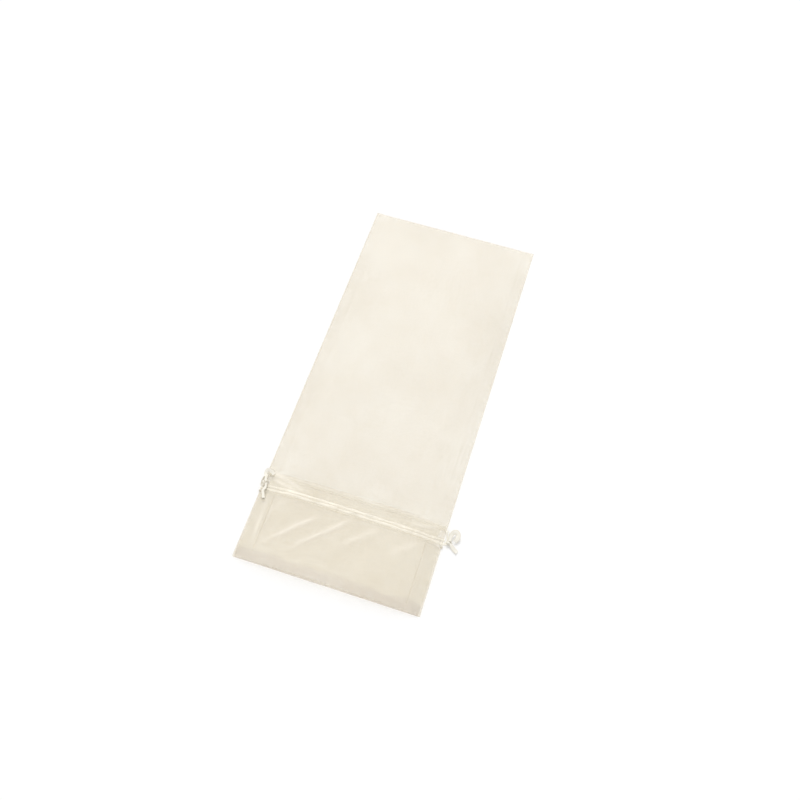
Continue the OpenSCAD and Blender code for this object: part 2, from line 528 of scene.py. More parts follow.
@dataclass(frozen=True)
class SatinRibbon:
    """Polyester satin ribbon: bright, smooth along its length, with a fine rib across it, and painted
    shade along its edges.
    """

    name: str = "cream_satin_ribbon"
    colour: str = "fffdf5"
    shade: str = "f3ecdc"
    edge_shade: str = "d6ccb6"
    rib_pitch: float = 0.8 * MM

    def build(self) -> bpy.types.Material:
        """Makes the material, its ribs counted along the ribbon in the UV map.

        Returns:
            The material.
        """
        material, tree = new_material(self.name)
        flat = add_node(tree, "ShaderNodeTexCoord").outputs["UV"]
        # Satin's floats are a tenth of a millimetre: the rib is drawn eight times as coarse.
        ribs = add_node(
            tree,
            "ShaderNodeTexWave",
            {"wave_type": "BANDS", "bands_direction": "X", "wave_profile": "SIN"},
            values={"Scale": WAVE_PERIOD / self.rib_pitch, "Distortion": 1.5, "Detail": 1.0},
            links={"Vector": flat},
        )
        stretch = add_node(
            tree,
            "ShaderNodeMapping",
            values={"Scale": (1.0 / (7.0 * MM), 1.0 / (0.8 * MM), 1.0)},
            links={"Vector": flat},
        )
        streaks = add_node(
            tree,
            "ShaderNodeTexNoise",
            values={"Scale": 1.0, "Detail": 2.0, "Roughness": 0.55},
            links={"Vector": stretch.outputs[0]},
        )
        tint = add_node(
            tree,
            "ShaderNodeMix",
            {"data_type": "RGBA"},
            values={"6": linear_colour(self.shade), "7": linear_colour(self.colour)},
            links={"0": streaks.outputs[0]},
        )
        # Painted shade: the ribbon is painted darker towards its edges, for the dark lines where strands
        # meet and shade each other.
        edge = add_node(tree, "ShaderNodeAttribute", {"attribute_name": PAINTED_LIGHT_LAYER})
        rim = add_node(
            tree,
            "ShaderNodeMapRange",
            values={"From Min": 0.72, "From Max": 1.0, "To Min": 0.0, "To Max": 0.8},
            links={"Value": edge.outputs["Fac"]},
        )
        tint = add_node(
            tree,
            "ShaderNodeMix",
            {"data_type": "RGBA"},
            values={"7": linear_colour(self.edge_shade)},
            links={"0": rim.outputs[0], "6": tint.outputs[2]},
        )
        height = add_node(
            tree,
            "ShaderNodeMath",
            {"operation": "MULTIPLY_ADD"},
            values={"1": 0.5},
            links={"0": ribs.outputs["Fac"], "2": streaks.outputs[0]},
        )
        bump = add_node(
            tree,
            "ShaderNodeBump",
            values={"Strength": 0.4, "Distance": 0.08 * MM},
            links={"Height": height.outputs[0]},
        )
        shader = add_node(
            tree,
            "ShaderNodeBsdfPrincipled",
            values={"Roughness": 0.3, "Sheen Weight": 0.4, "Sheen Roughness": 0.3},
            links={"Base Color": tint.outputs[2], "Normal": bump.outputs[0]},
        )
        close_material(tree, shader)
        return material


@dataclass(frozen=True)
class SewingThread:
    """Spun polyester sewing thread: matt and slightly darker than the cloth, with a ply twist."""

    name: str = "cream_sewing_thread"
    colour: str = "efe9da"
    shade: str = "ddd4c0"
    twist_pitch: float = 0.5 * MM

    def build(self) -> bpy.types.Material:
        """Makes the material, its twist running slantwise over the thread.

        Returns:
            The material.
        """
        material, tree = new_material(self.name)
        place = add_node(tree, "ShaderNodeTexCoord").outputs["Object"]
        twist = add_node(
            tree,
            "ShaderNodeTexWave",
            {"wave_type": "BANDS", "bands_direction": "DIAGONAL", "wave_profile": "SIN"},
            values={"Scale": WAVE_PERIOD / self.twist_pitch, "Distortion": 0.5},
            links={"Vector": place},
        )
        tint = add_node(
            tree,
            "ShaderNodeMix",
            {"data_type": "RGBA"},
            values={"6": linear_colour(self.shade), "7": linear_colour(self.colour)},
            links={"0": twist.outputs["Fac"]},
        )
        bump = add_node(
            tree,
            "ShaderNodeBump",
            values={"Strength": 0.5, "Distance": 0.04 * MM},
            links={"Height": twist.outputs["Fac"]},
        )
        shader = add_node(
            tree,
            "ShaderNodeBsdfPrincipled",
            values={"Roughness": 0.6, "Sheen Weight": 0.2},
            links={"Base Color": tint.outputs[2], "Normal": bump.outputs[0]},
        )
        close_material(tree, shader)
        return material


@dataclass(frozen=True)
class Finishes:
    """The pouch's finishes, ready to assign."""

    panel: bpy.types.Material
    facing: bpy.types.Material
    turned: bpy.types.Material
    cut_edge: bpy.types.Material
    rolled_edge: bpy.types.Material
    hem: bpy.types.Material
    folded: bpy.types.Material
    ribbon: bpy.types.Material
    thread: bpy.types.Material

    @classmethod
    def build(cls) -> "Finishes":
        """Makes every finish of the pouch."""
        return cls(
            panel=Organza("cream_organza", "f4f0e6", "e7dfcf", 0.25).build(),
            facing=Organza("cream_organza_facing", "f5f0e1", "ece5d3", 0.25).build(),
            turned=Organza("cream_organza_turned", "fbf8f6", "f3eeea", 0.015).build(),
            cut_edge=Organza("cream_organza_cut_edge", "efe7da", "e5dccb", 0.05).build(),
            rolled_edge=Organza("cream_organza_rolled_edge", "d9cbb2", "cbbda2", 0.46).build(),
            hem=Organza("cream_organza_hem", "e2dad2", "d9d0c8", 0.16).build(),
            folded=Organza("cream_organza_folded", "f6f3ea", "eee8db", 0.15).build(),
            ribbon=SatinRibbon().build(),
            thread=SewingThread().build(),
        )


def lay_grid(bm: bmesh.types.BMesh, columns: int, rows: int, place: Place) -> list[bmesh.types.BMFace]:
    """Adds a grid of quads and moves its corners onto a surface.

    Args:
        bm: The mesh, in millimetres.
        columns: Number of quads across.
        rows: Number of quads along.
        place: Gives a corner's point, and its place in the flat lay. A third number there is the share
        of painted light: the painted highlight on a cloth, or a band's nearness to its edge, where
            painted shade goes.

    Returns:
        The grid's faces.
    """
    flat = bm.verts.layers.float_vector.get(FLAT_LAYER) or bm.verts.layers.float_vector.new(FLAT_LAYER)
    made = bmesh.ops.create_grid(bm, x_segments=columns, y_segments=rows, size=1.0)["verts"]
    for vert in made:
        i = round((vert.co.x + 1.0) / 2.0 * columns)
        j = round((vert.co.y + 1.0) / 2.0 * rows)
        point, lay = place(i, j)
        vert.co = point
        vert[flat] = Vector((*lay, 0.0)[:3])
    faces = list({face for vert in made for face in vert.link_faces})
    bmesh.ops.recalc_face_normals(bm, faces=faces)
    return faces


def lay_centre(bm: bmesh.types.BMesh, face: bmesh.types.BMFace) -> Vector:
    """A face's middle in the flat lay."""
    flat = bm.verts.layers.float_vector[FLAT_LAYER]
    return sum((vert[flat] for vert in face.verts), Vector()) / len(face.verts)


def thicken(
    bm: bmesh.types.BMesh,
    faces: list[bmesh.types.BMFace],
    up: bool,
    thickness: float = CLOTH_T,
) -> None:
    """Gives a laid sheet its thickness, away from its outer face.

    Args:
        bm: The mesh.
        faces: The sheet's faces, laid on its outer face.
        up: Whether the outer face of the first row looks up.
        thickness: The cloth's thickness in millimetres.
    """
    faces.sort(key=lambda face: (round(face.calc_center_median().z, 3), face.calc_center_median().y))
    bm.normal_update()
    highest = faces[-1] if up else faces[0]
    if (highest.normal.z > 0.0) != up:
        bmesh.ops.reverse_faces(bm, faces=faces)
    bmesh.ops.solidify(bm, geom=faces, thickness=thickness)


def sweep(
    bm: bmesh.types.BMesh,
    path: Sequence[Vector],
    half_w: float | Sequence[float],
    half_t: float,
    across: Vector,
    roll: Sequence[float] | None = None,
    sides: int = 10,
    closed: bool = False,
    known: int = 0,
) -> None:
    """Adds a band with an oval section along a path.

    Args:
        bm: The mesh, in millimetres.
        path: Points down the middle of the band.
        half_w: Half the band's width, one value or one for each point.
        half_t: Half the band's thickness.
        across: The direction of the band's width at the known point.
        roll: Turn of the band about its path at each point, in radians.
        sides: Number of faces round the section.
        closed: Whether the path is a ring.
        known: The point from which the width's direction is carried along both ways.
    """
    count = len(path)
    tangents = []
    for k, point in enumerate(path):
        ahead = path[(k + 1) % count] if closed or k + 1 < count else point
        behind = path[k - 1] if closed or k > 0 else point
        tangents.append((ahead - behind).normalized())
    widths = [across.normalized()] * count
    for order in (range(known, count), range(known, -1, -1)):
        width = across.normalized()
        for k in order:
            width = (width - tangents[k] * width.dot(tangents[k])).normalized()
            widths[k] = width
    frames = list(zip(tangents, widths))
    if closed:
        drift = frames[-1][1].angle(frames[0][1])
        if frames[-1][1].cross(frames[0][1]).dot(frames[0][0]) < 0.0:
            drift = -drift
        frames = [
            (t, Quaternion(t, drift * k / count) @ w) for k, (t, w) in enumerate(frames)
        ]
    walked = [0.0]
    for k in range(1, count):
        walked.append(walked[-1] + (path[k] - path[k - 1]).length)

    def place(i: int, j: int) -> Laid:
        k = j % count
        tangent, side = frames[k]
        turned = Quaternion(tangent, roll[k]) @ side if roll else side
        normal = tangent.cross(turned)
        angle = math.tau * (i % sides) / sides
        wide = half_w[k] if isinstance(half_w, (list, tuple)) else half_w
        offset = turned * (wide * math.cos(angle)) + normal * (half_t * math.sin(angle))
        # The third number is the nearness to the band's edge, where a ribbon gets its painted shade.
        return path[k] + offset, (walked[k], wide * math.cos(angle), abs(math.cos(angle)))

    before = set(bm.verts)
    lay_grid(bm, sides, count if closed else count - 1, place)
    fresh = [vert for vert in bm.verts if vert not in before]
    bmesh.ops.remove_doubles(bm, verts=fresh, dist=1e-5)
    fresh = [vert for vert in bm.verts if vert.is_valid and vert not in before]
    rim = list({edge for vert in fresh for edge in vert.link_edges if edge.is_boundary})
    if rim:
        bmesh.ops.holes_fill(bm, edges=rim, sides=0)
    faces = list({face for vert in fresh for face in vert.link_faces})
    bmesh.ops.recalc_face_normals(bm, faces=faces)


def smooth_path(points: Sequence[Point], step: float) -> list[Vector]:
    """A smooth curve through points, as places about a step apart.

    Args:
        points: What the curve goes through, in millimetres.
        step: Distance between the places.

    Returns:
        The places, both ends among them.
    """
    marks = [Vector(p) for p in points]
    padded = [2 * marks[0] - marks[1], *marks, 2 * marks[-1] - marks[-2]]
    made = []
    for k in range(1, len(padded) - 2):
        a, b, c, d = padded[k - 1 : k + 3]
        count = max(2, math.ceil((c - b).length / step))
        for n in range(count):
            t = n / count
            made.append(
                0.5 * (2 * b + (c - a) * t + (2 * a - 5 * b + 4 * c - d) * t**2)
                + 0.5 * (3 * b - a - 3 * c + d) * t**3
            )
    return [*made, marks[-1]]


def piece(name: str, bm: bmesh.types.BMesh, material: bpy.types.Material) -> bpy.types.Object:
    """Turns a finished mesh in millimetres into a piece in metres.

    Args:
        name: The piece's name.
        bm: The mesh, which is used up.
        material: Its finish.

    Returns:
        The new object.
    """
    bmesh.ops.recalc_face_normals(bm, faces=bm.faces[:])
    bmesh.ops.scale(bm, vec=(MM, MM, MM), verts=bm.verts[:])
    bm.verts.index_update()
    flat = bm.verts.layers.float_vector.get(FLAT_LAYER)
    if flat is not None:
        uv = bm.loops.layers.uv.new("UVMap")
        for face in bm.faces:
            for loop in face.loops:
                loop[uv].uv = loop.vert[flat].xy * MM
        # The flat lay's third number becomes the painted-light layer: the painted highlight on a cloth,
        # and on a band its nearness to the edge, where a ribbon gets painted shade.
        edges = {vert.index: vert[flat].z for vert in bm.verts}
        bm.verts.layers.float_vector.remove(flat)
        edge = bm.verts.layers.float.new(PAINTED_LIGHT_LAYER)
        for vert in bm.verts:
            vert[edge] = edges[vert.index]
    for face in bm.faces:
        face.smooth = True
    for edge in bm.edges:
        if edge.is_manifold and edge.calc_face_angle() > SHARP:
            edge.smooth = False
    mesh = bpy.data.meshes.new(name)
    bm.to_mesh(mesh)
    bm.free()
    mesh.materials.append(material)
    obj = bpy.data.objects.new(name, mesh)
    bpy.context.scene.collection.objects.link(obj)
    log.info("%s: %d faces", name, len(mesh.polygons))
    return obj


@dataclass(frozen=True)
class Gathering:
    """Bakes each cloth piece's transform into its mesh; it does not draw the cloth in."""

    plan: PouchPlan
    header_ease: float = 0.4

    def dress(self, obj: bpy.types.Object, side: Side, part: Part) -> None:
        """Bakes a piece's transform into its mesh.

        Args:
            obj: The finished piece.
            side: The side that it is on. Not used.
            part: The part of the cloth that it is on. Not used.
        """
        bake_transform(obj)


@dataclass(frozen=True)
class ClothPanels:
    """The eight sheets of organza: front and back, header and pocket, left and right."""

    plan: PouchPlan
    gathering: Gathering
    finishes: Finishes
    step_x: float = 0.9
    fine_y: float = 1.0
    step_y: float = 1.8
    hem_widths: tuple[float, ...] = (6.2, 9.4)
    edge_in: float = 0.5

    def side_places(self) -> list[float]:
        """Places across half of the cloth, as shares from the middle to the seam."""
        return steps(0.0, 1.0, self.step_x / self.plan.half_w)

    def header(self, side: Side, ply: Ply) -> bpy.types.Object:
        """Builds a header: the cloth to the mouth, folded in and back up as its facing.

        Args:
            side: The side of the pouch.
            ply: The front or the back cloth.

        Returns:
            The finished piece.
        """
        plan, sign = self.plan, side.value
        turn = 1.0 if ply is Ply.FRONT else -1.0
        front = float(ply is Ply.FRONT)
        radius = plan.fold_gap(plan.mouth_y) / 2
        shares = self.side_places()
        ys = steps(plan.cord_y, plan.mouth_y + radius, self.fine_y)
        angles = steps(0.0, math.pi, math.pi / 6)[1:-1]
        rows = [("cloth", y) for y in ys]
        rows += [("fold", angle) for angle in angles]
        rows += [("facing", y) for y in reversed(ys)]
        edge = plan.half_w - self.edge_in

        def place(i: int, j: int) -> Laid:
            kind, at = rows[j]
            if kind == "cloth":
                x = sign * shares[i] * edge
                return Vector((x, at, plan.cloth_face(ply, x, at))), (x, at, front * plan.accent(x, at))
            if kind == "facing":
                x = sign * shares[i] * plan.facing_reach(at)
                lay = (x, 2 * plan.mouth_y - at, front * plan.accent(x, at))
                return Vector((x, at, plan.facing_face(ply, x, at))), lay
            x = sign * shares[i] * (edge + (plan.facing_reach(plan.mouth_y) - edge) * at / math.pi)
            face = plan.cloth_face(ply, x, plan.mouth_y + radius)
            y = plan.mouth_y + radius * (1.0 - math.sin(at))
            z = face - turn * radius * (1.0 - math.cos(at))
            return Vector((x, y, z)), (x, plan.mouth_y - radius * at)

        bm = bmesh.new()
        faces = lay_grid(bm, len(shares) - 1, len(rows) - 1, place)
        thicken(bm, faces, up=ply is Ply.FRONT)
        for face in bm.faces:
            face.material_index = 1 if lay_centre(bm, face).y < plan.mouth_y - 1.0 else 0
        sheet_faces = set(bm.faces)
        for layer, hem_w in enumerate(self.hem_widths):
            hem_ys = steps(plan.mouth_y + CLOTH_T + 0.1, plan.mouth_y + hem_w, 1.2)

            def hem_place(i: int, j: int) -> Laid:
                x = sign * shares[i] * (plan.inner_half_w - 0.3)
                wave = 1.0 + 0.3 * noise.noise(Vector((x / 19.0, 3.0 + layer, 7.0)))
                y = plan.mouth_y + (hem_ys[j] - plan.mouth_y) * (wave if j else 1.0)
                inward = plan.fold_gap(y) / 2 + CLOTH_T * (0.55 * layer - 0.6)
                return Vector((x, y, plan.cloth_face(ply, x, y) - turn * inward)), (x, y)

            faces = lay_grid(bm, len(shares) - 1, len(hem_ys) - 1, hem_place)
            thicken(bm, faces, up=ply is Ply.FRONT, thickness=CLOTH_T / 3)
        for face in bm.faces:
            if face not in sheet_faces:
                face.material_index = 2
        name = f"{side.word}_{ply.value}_header"
        obj = piece(name, bm, self.finishes.panel)
        obj.data.materials.append(self.finishes.facing)
        obj.data.materials.append(self.finishes.hem)
        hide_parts(f"{ply.value}_panel", f"{ply.value}_facing", f"{ply.value}_mouth_fold")
        self.gathering.dress(obj, side, Part.HEADER)
        return obj

    def pocket(self, side: Side, ply: Ply) -> bpy.types.Object:
        """Builds a pocket cloth, with the end of its facing past the cord's line.

        Args:
            side: The side of the pouch.
            ply: The front or the back cloth.

        Returns:
            The finished piece.
        """
        plan, sign = self.plan, side.value
        shares = self.side_places()
        casing_end = plan.facing_end_y + 6.0
        ys = steps(plan.cord_y, casing_end, self.fine_y)
        ys += steps(casing_end, plan.end_y - self.edge_in, self.step_y)[1:]
        edge = plan.half_w - self.edge_in
        front = float(ply is Ply.FRONT)

        def place(i: int, j: int) -> Laid:
            x, y = sign * shares[i] * edge, ys[j]
            return Vector((x, y, plan.cloth_face(ply, x, y))), (x, y, front * plan.accent(x, y))

        bm = bmesh.new()
        faces = lay_grid(bm, len(shares) - 1, len(ys) - 1, place)
        thicken(bm, faces, up=ply is Ply.FRONT)
        facing_ys = steps(plan.cord_y, plan.facing_end_y, 1.2)

        def facing_place(i: int, j: int) -> Laid:
            y = facing_ys[j]
            x = sign * shares[i] * plan.facing_reach(y)
            frayed = y + 0.35 * noise.noise(Vector((x / 2.0, 4.0, 1.0))) * (j == len(facing_ys) - 1)
            return Vector((x, frayed, plan.facing_face(ply, x, y))), (x, y, front * plan.accent(x, y))

        cloth_faces = set(bm.faces)
        faces = lay_grid(bm, len(shares) - 1, len(facing_ys) - 1, facing_place)
        thicken(bm, faces, up=ply is Ply.BACK)
        for face in bm.faces:
            face.material_index = 0 if face in cloth_faces else 1
        name = f"{side.word}_{ply.value}_pocket"
        obj = piece(name, bm, self.finishes.panel)
        obj.data.materials.append(self.finishes.facing)
        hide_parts(f"{ply.value}_panel", f"{ply.value}_facing")
        self.gathering.dress(obj, side, Part.POCKET)
        return obj

    def build(self) -> list[bpy.types.Object]:
        """Builds all eight sheets."""
        made = []
        for side in Side:
            for ply in Ply:
                made.append(self.header(side, ply))
                made.append(self.pocket(side, ply))
        return made


@dataclass(frozen=True)
class Seams:
    """The side seams, their turned edges inside the pouch, and the fold at the closed end."""

    plan: PouchPlan
    gathering: Gathering
    finishes: Finishes
    roll_t: float = 0.66
    fold_step: float = 2.5
    mouth_clear: float = 6.4
    header_extra: float = 4.6
    cut_edge_w: float = 0.9
    roll_clear: float = 0.04
    hem_half_w: float = 0.42
    hem_half_t: float = 0.16
    hem_step: float = 1.3
    columns: int = 8
    least_sheet_w: float = 10.0

    def roll(self, side: Side, part: Part) -> bpy.types.Object:
        """Builds the narrow rolled seam along one side of the header or the pocket."""
        plan = self.plan
        low, high = (
            (plan.mouth_y + 0.1, plan.gap_low_y)
            if part is Part.HEADER
            else (plan.gap_high_y, plan.end_y - 0.2)
        )
        x = side.value * (plan.half_w - plan.seam_w / 2)
        z = FLOOR_GAP + self.roll_t + self.roll_clear
        path = [
            Vector((x + side.value * 0.12 * noise.noise(Vector((y / 9.0, side.value, 0.5))), y, z))
            for y in steps(low, high, self.fold_step)
        ]
        bm = bmesh.new()
        sweep(bm, path, plan.seam_w / 2, self.roll_t, ACROSS)
        obj = piece(f"{side.word}_{part.value}_seam_roll", bm, self.finishes.folded)
        node = "header_seam" if part is Part.HEADER else "body_seam"
        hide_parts(f"{side.word}_{node}")
        self.gathering.dress(obj, side, part)
        return obj

    def turning(self, side: Side, part: Part) -> bpy.types.Object:
        """Builds the cloth's cut edge, turned in flat beside a seam."""
        plan, sign = self.plan, side.value
        if part is Part.HEADER:
            ys = steps(plan.mouth_y + self.mouth_clear, plan.gap_low_y - 1.5, self.fold_step)
            height, width = 0.56 + CLOTH_T * 0.8, plan.turning_w + self.header_extra
        else:
            ys = steps(plan.neck_y, plan.end_y - 2.0, self.fold_step)
            height, width = 0.36 + CLOTH_T, plan.turning_w + 0.6
        columns = self.columns
        outer = plan.inner_half_w - 0.1
        cut_edge_x = outer - width + self.cut_edge_w - 0.01

        def place(i: int, j: int) -> Laid:
            y = ys[j]
            cut = width + 0.5 * noise.noise(Vector((y / 23.0, sign * 3.0, 1.7)))
            cut += 0.25 * noise.noise(Vector((y / 2.6, sign, 6.1)))
            body = 1.0 if i == columns else (1.0 - self.cut_edge_w / width) * i / (columns - 1)
            x, lay_x = (sign * (outer - reach * body) for reach in (cut, width))
            z = max(height, plan.facing_face(Ply.BACK, x, y) + CLOTH_T) if part is Part.HEADER else height
            return Vector((x, y, z)), (lay_x, y)

        bm = bmesh.new()
        faces = lay_grid(bm, columns, len(ys) - 1, place)
        thicken(bm, faces, up=True, thickness=CLOTH_T * 0.8)
        for face in bm.faces:
            face.material_index = 1 if abs(lay_centre(bm, face).x) < cut_edge_x else 0
        obj = piece(f"{side.word}_{part.value}_turning", bm, self.finishes.turned)
        finishes = self.finishes
        obj.data.materials.append(finishes.rolled_edge if part is Part.HEADER else finishes.cut_edge)
        if part is Part.POCKET:
            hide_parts(f"{side.word}_seam_allowance")
        self.gathering.dress(obj, side, part)
        return obj

    def closed_end(self) -> bpy.types.Object:
        """Builds the fold that joins the two cloths at the closed end."""
        plan = self.plan
        reach = plan.half_w - 0.4
        z = FLOOR_GAP + self.roll_t + self.roll_clear
        y = plan.end_y - plan.seam_w / 2
        path = [Vector((x, y, z)) for x in steps(-reach, reach, self.fold_step)]
        bm = bmesh.new()
        sweep(bm, path, plan.seam_w / 2, self.roll_t, ALONG)
        obj = piece("closed_end_fold", bm, self.finishes.folded)
        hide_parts("bottom_fold")
        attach(obj, "root")
        return obj

    def opening_hems(self, side: Side) -> bpy.types.Object:
        """Builds the two narrow hems that bound the side opening of the casing."""
        plan = self.plan
        x = side.value * (plan.half_w - 0.45)
        bm = bmesh.new()
        ys = steps(plan.gap_low_y - 0.4, plan.gap_high_y + 0.4, self.hem_step)
        for z in (FLOOR_GAP + self.hem_half_t + 0.01, plan.seam_z + CLOTH_T + 0.02):
            path = [Vector((x, y, z)) for y in ys]
            sweep(bm, path, self.hem_half_w, self.hem_half_t, ACROSS, sides=8)
        obj = piece(f"{side.word}_opening_hems", bm, self.finishes.folded)
        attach(obj, f"{side.word}_neck")
        return obj

    def build(self) -> list[bpy.types.Object]:
        """Builds every seam, turned edge, fold and hem."""
        made = [self.closed_end()]
        for side in Side:
            made.append(self.opening_hems(side))
            for part in Part:
                made.append(self.roll(side, part))
                made.append(self.turning(side, part))
        return made


@dataclass(frozen=True)
class Stitching:
    """Running stitches along the casing and the seams, and bar tacks at the side openings."""

    plan: PouchPlan
    gathering: Gathering
    finishes: Finishes
    stitch_l: float = 2.1
    stitch_pitch: float = 2.8
    thread_r: float = 0.13
    loops: int = 4
    bar_lean: float = 0.08
    bar_in: float = 0.5
    seam_h: float = 1.36

    def stitch(self, bm: bmesh.types.BMesh, middle: Vector, along: Vector) -> None:
        """Adds one stitch, a short thread with rounded ends.

        Args:
            bm: The mesh.
            middle: The stitch's middle.
            along: Its direction.
        """
        turn = ACROSS.rotation_difference(along).to_matrix().to_4x4()
        size = Matrix.Diagonal((self.stitch_l / 2, self.thread_r, self.thread_r * 0.8, 1.0))
        matrix = Matrix.Translation(middle) @ turn @ size
        bmesh.ops.create_uvsphere(bm, u_segments=6, v_segments=4, radius=1.0, matrix=matrix)

    def casing_row(self, bm: bmesh.types.BMesh, side: Side, row_y: float) -> None:
        """Adds one side's half of a casing row, on the front cloth and inside the back."""
        plan, sign = self.plan, side.value
        x = self.stitch_pitch / 2
        while x < plan.inner_half_w - 1.0:
            y = row_y + 0.12 * noise.noise(Vector((x / 5.0, sign, row_y)))
            here, there = (
                Vector((sign * at, y, plan.cloth_face(Ply.FRONT, sign * at, y) + 0.04))
                for at in (x - 0.7, x + 0.7)
            )
            self.stitch(bm, (here + there) / 2, (there - here).normalized())
            if x < plan.facing_half_w - 1.5:
                top = plan.facing_face(Ply.BACK, sign * x, y) + 0.06
                self.stitch(bm, Vector((sign * x, y, top)), ACROSS)
            x += self.stitch_pitch

    def seam_row(self, bm: bmesh.types.BMesh, side: Side, low: float, high: float) -> None:
        """Adds a row of stitches along a side seam."""
        plan = self.plan
        x = side.value * (plan.half_w - plan.seam_w / 2 - 0.2)
        seam_top = FLOOR_GAP + self.seam_h
        y = low + self.stitch_pitch / 2
        while y < high:
            self.stitch(bm, Vector((x, y, seam_top)), ALONG)
            y += self.stitch_pitch

    def rows(self, side: Side, part: Part) -> bpy.types.Object:
        """Builds the stitches that lie on one side of the header or of the pocket."""
        plan = self.plan
        bm = bmesh.new()
        if part is Part.HEADER:
            self.casing_row(bm, side, plan.row_low_y)
            self.seam_row(bm, side, plan.mouth_y + 0.8, plan.gap_low_y - 2.0)
        else:
            self.casing_row(bm, side, plan.row_high_y)
            self.seam_row(bm, side, plan.gap_high_y + 2.0, plan.end_y - 0.8)
        obj = piece(f"{side.word}_{part.value}_stitches", bm, self.finishes.thread)
        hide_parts(f"{side.word}_seam_stitching", "front_casing_stitching", "back_casing_stitching")
        self.gathering.dress(obj, side, part)
        return obj

    def bars(self, side: Side) -> bpy.types.Object:
        """Builds the loops of thread that bind the seam at both ends of a side opening."""
        plan, sign = self.plan, side.value
        low, high = node_box(f"{side.word}_bar_tacks")
        width = plan.gap_low_y - low.y
        centre_x = sign * (plan.half_w - self.bar_in)
        centre_z = (FLOOR_GAP + high.z) / 2
        radius_z = centre_z - FLOOR_GAP - self.thread_r - 0.02
        bm = bmesh.new()
        for start in (low.y, plan.gap_high_y):
            for k in range(self.loops):
                centre = Vector((centre_x, start + width * (k + 0.5) / self.loops, centre_z))
                lean = self.bar_lean * (-1) ** k
                path = [
                    centre + Vector((math.cos(a), lean * math.sin(a), radius_z * math.sin(a)))
                    for a in steps(0.0, math.tau, math.tau / 16)[:-1]
                ]
                sweep(bm, path, self.thread_r, self.thread_r, ALONG, sides=6, closed=True)
        obj = piece(f"{side.word}_opening_bars", bm, self.finishes.thread)
        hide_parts(f"{side.word}_bar_tacks")
        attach(obj, f"{side.word}_neck")
        return obj

    def build(self) -> list[bpy.types.Object]:
        """Builds every row and every bar tack."""
        made = []
        for side in Side:
            made.append(self.bars(side))
            made.extend(self.rows(side, part) for part in Part)
        return made


@dataclass(frozen=True)
class CordEnds:
    """How one cord's ends leave the casing and lie, in millimetres.

    The strands' points are the pouch's own, and the tails' are counted from the knot's middle.
    The curls are turns in radians, and the lean is how far the cord sags towards the mouth.
    """

    front_strand: tuple[Point, ...]
    back_strand: tuple[Point, ...]
    tails: tuple[tuple[Point, ...], ...]
    curls: tuple[tuple[float, ...], ...]
    widths: tuple[float, float]
    knot_turn: Point
    lean: float


LEFT_ENDS = CordEnds(
    front_strand=(
        (-80.5, -118.0, 1.3),
        (-80.6, -116.3, 2.7),
        (-79.8, -113.9, 3.9),
        (-77.7, -112.9, 4.8),
        (-75.4, -114.6, 5.1),
        (-75.7, -117.0, 5.0),
    ),
    back_strand=(
        (-80.5, -119.6, 0.9),
        (-80.7, -120.5, 2.3),
        (-79.8, -121.3, 3.9),
        (-78.2, -120.4, 4.7),
    ),
    tails=(
        ((0.6, -0.9, 0.9), (1.6, -4.2, 0.5), (0.6, -7.6, 0.0), (1.9, -10.4, -0.2), (3.4, -13.6, -0.4)),
        (
            (-0.5, 1.0, 1.2),
            (-1.0, 4.6, 1.1),
            (-2.6, 7.6, 0.2),
            (-1.8, 10.6, 0.6),
            (1.6, 10.2, 1.0),
            (4.2, 8.2, 0.7),
        ),
    ),
    curls=((0.0, 0.3, 0.5, 0.3, -0.1), (0.0, 0.3, 0.5, 0.3, 0.1, -0.3)),
    widths=(2.6, 3.0),
    knot_turn=(0.5, 0.3, 0.4),
    lean=1.0,
)

RIGHT_ENDS = CordEnds(
    front_strand=((81.2, -122.0, 1.3), (82.8, -121.6, 2.4), (84.6, -120.4, 3.0)),
    back_strand=(
        (81.4, -121.2, 0.7),
        (82.6, -118.0, 1.8),
        (81.2, -114.2, 2.9),
        (79.8, -111.6, 3.4),
        (81.4, -110.9, 3.3),
        (83.4, -114.6, 3.0),
        (84.2, -118.4, 2.6),
    ),
    tails=(
        ((0.8, -1.0, 0.6), (3.2, -2.8, -0.2), (5.6, -4.6, -0.7), (8.6, -6.0, -1.0)),
        (
            (0.4, 1.0, 1.0),
            (0.0, 4.4, 1.4),
            (0.8, 7.8, 1.9),
            (3.2, 9.6, 1.7),
            (5.4, 8.2, 1.4),
            (5.8, 5.0, 0.8),
            (4.4, 1.8, 0.2),
        ),
    ),
    curls=((0.0, 0.4, 0.3, -0.2), (0.0, 0.2, 0.5, 0.3, 0.5, 0.2, -0.2)),
    widths=(3.0, 3.7),
    knot_turn=(-0.4, 0.5, 1.2),
    lean=0.6,
)


